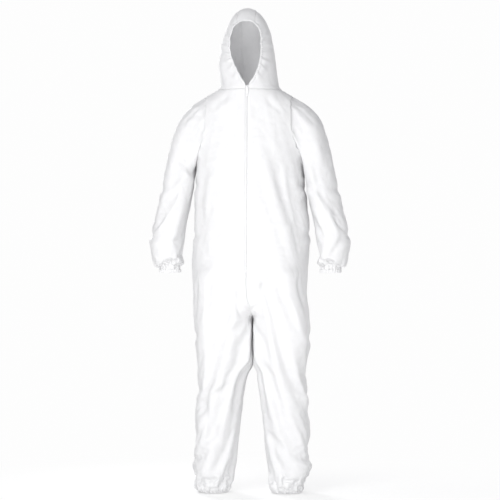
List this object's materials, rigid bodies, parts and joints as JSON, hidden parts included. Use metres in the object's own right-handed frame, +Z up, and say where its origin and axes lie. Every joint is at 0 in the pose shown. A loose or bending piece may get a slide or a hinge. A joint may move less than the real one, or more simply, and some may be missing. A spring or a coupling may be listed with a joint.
{
  "type": "hooded protective coverall",
  "caption": "Hooded one-piece coverall of thin white nonwoven, front zip, panelled hood, set-in sleeves, elasticated face, wrists, ankles and back waist.",
  "frame": {"origin": "midway between the wearer's shoulders, where the garment is held up, 1.40 m above the ankle hems", "axes": "+Z up; the garment faces -Y; +X is the wearer's left"},
  "size_m": [0.7238, 0.3, 1.75],
  "materials": {
    "nonwoven_fabric": "matte",
    "elastic": "matte",
    "zip_tape": "matte",
    "zip_coil": "satin",
    "zip_hardware": "satin"
  },
  "bodies": {
    "torso": {"body_front_left": "nonwoven_fabric", "body_front_right": "nonwoven_fabric", "body_back_left": "nonwoven_fabric", "body_back_right": "nonwoven_fabric", "crotch_gusset": "nonwoven_fabric", "waist_elastic": "elastic", "zip_tape_left": "zip_tape", "zip_tape_right": "zip_tape", "zip_coil_left": "zip_coil", "zip_coil_right": "zip_coil", "zip_top_stop_left": "zip_hardware", "zip_top_stop_right": "zip_hardware", "zip_bottom_stop": "zip_hardware"},
    "hood": {"hood_side_left": "nonwoven_fabric", "hood_side_right": "nonwoven_fabric", "hood_crown_strip": "nonwoven_fabric", "face_elastic": "elastic"},
    "sleeve_left": {"sleeve_front_left": "nonwoven_fabric", "sleeve_back_left": "nonwoven_fabric", "cuff_elastic_left": "elastic"},
    "sleeve_right": {"sleeve_front_right": "nonwoven_fabric", "sleeve_back_right": "nonwoven_fabric", "cuff_elastic_right": "elastic"},
    "leg_left": {"leg_front_left": "nonwoven_fabric", "leg_back_left": "nonwoven_fabric", "ankle_elastic_left": "elastic"},
    "leg_right": {"leg_front_right": "nonwoven_fabric", "leg_back_right": "nonwoven_fabric", "ankle_elastic_right": "elastic"},
    "zip_slider": {"zip_slider": "zip_hardware"},
    "zip_pull": {"zip_pull": "zip_hardware"}
  },
  "joints": [
    {"name": "hood_tilt", "type": "hinge", "parent": "torso", "child": "hood", "pos_m": [0, 0.088, 0.0485], "axis": [-1, 0, 0], "range_deg": [0, 30]},
    {"name": "sleeve_left_raise", "type": "hinge", "parent": "torso", "child": "sleeve_left", "pos_m": [0.19, 0, -0.09], "axis": [0, -1, 0], "range_deg": [0, 75]},
    {"name": "sleeve_right_raise", "type": "hinge", "parent": "torso", "child": "sleeve_right", "pos_m": [-0.19, 0, -0.09], "axis": [0, 1, 0], "range_deg": [0, 75]},
    {"name": "leg_left_swing", "type": "hinge", "parent": "torso", "child": "leg_left", "pos_m": [0.105, 0, -0.565], "axis": [-1, 0, 0], "range_deg": [-25, 45]},
    {"name": "leg_right_swing", "type": "hinge", "parent": "torso", "child": "leg_right", "pos_m": [-0.105, 0, -0.565], "axis": [-1, 0, 0], "range_deg": [-25, 45]},
    {"name": "zip_slide", "type": "slide", "parent": "torso", "child": "zip_slider", "axis": [0, -0.0476, -0.9989], "range_m": [0, 0.645]},
    {"name": "zip_pull_swing", "type": "hinge", "parent": "zip_slider", "child": "zip_pull", "pos_m": [0, -0.12245, 0.0497], "axis": [-1, 0, 0], "range_deg": [0, 160]}
  ]
}
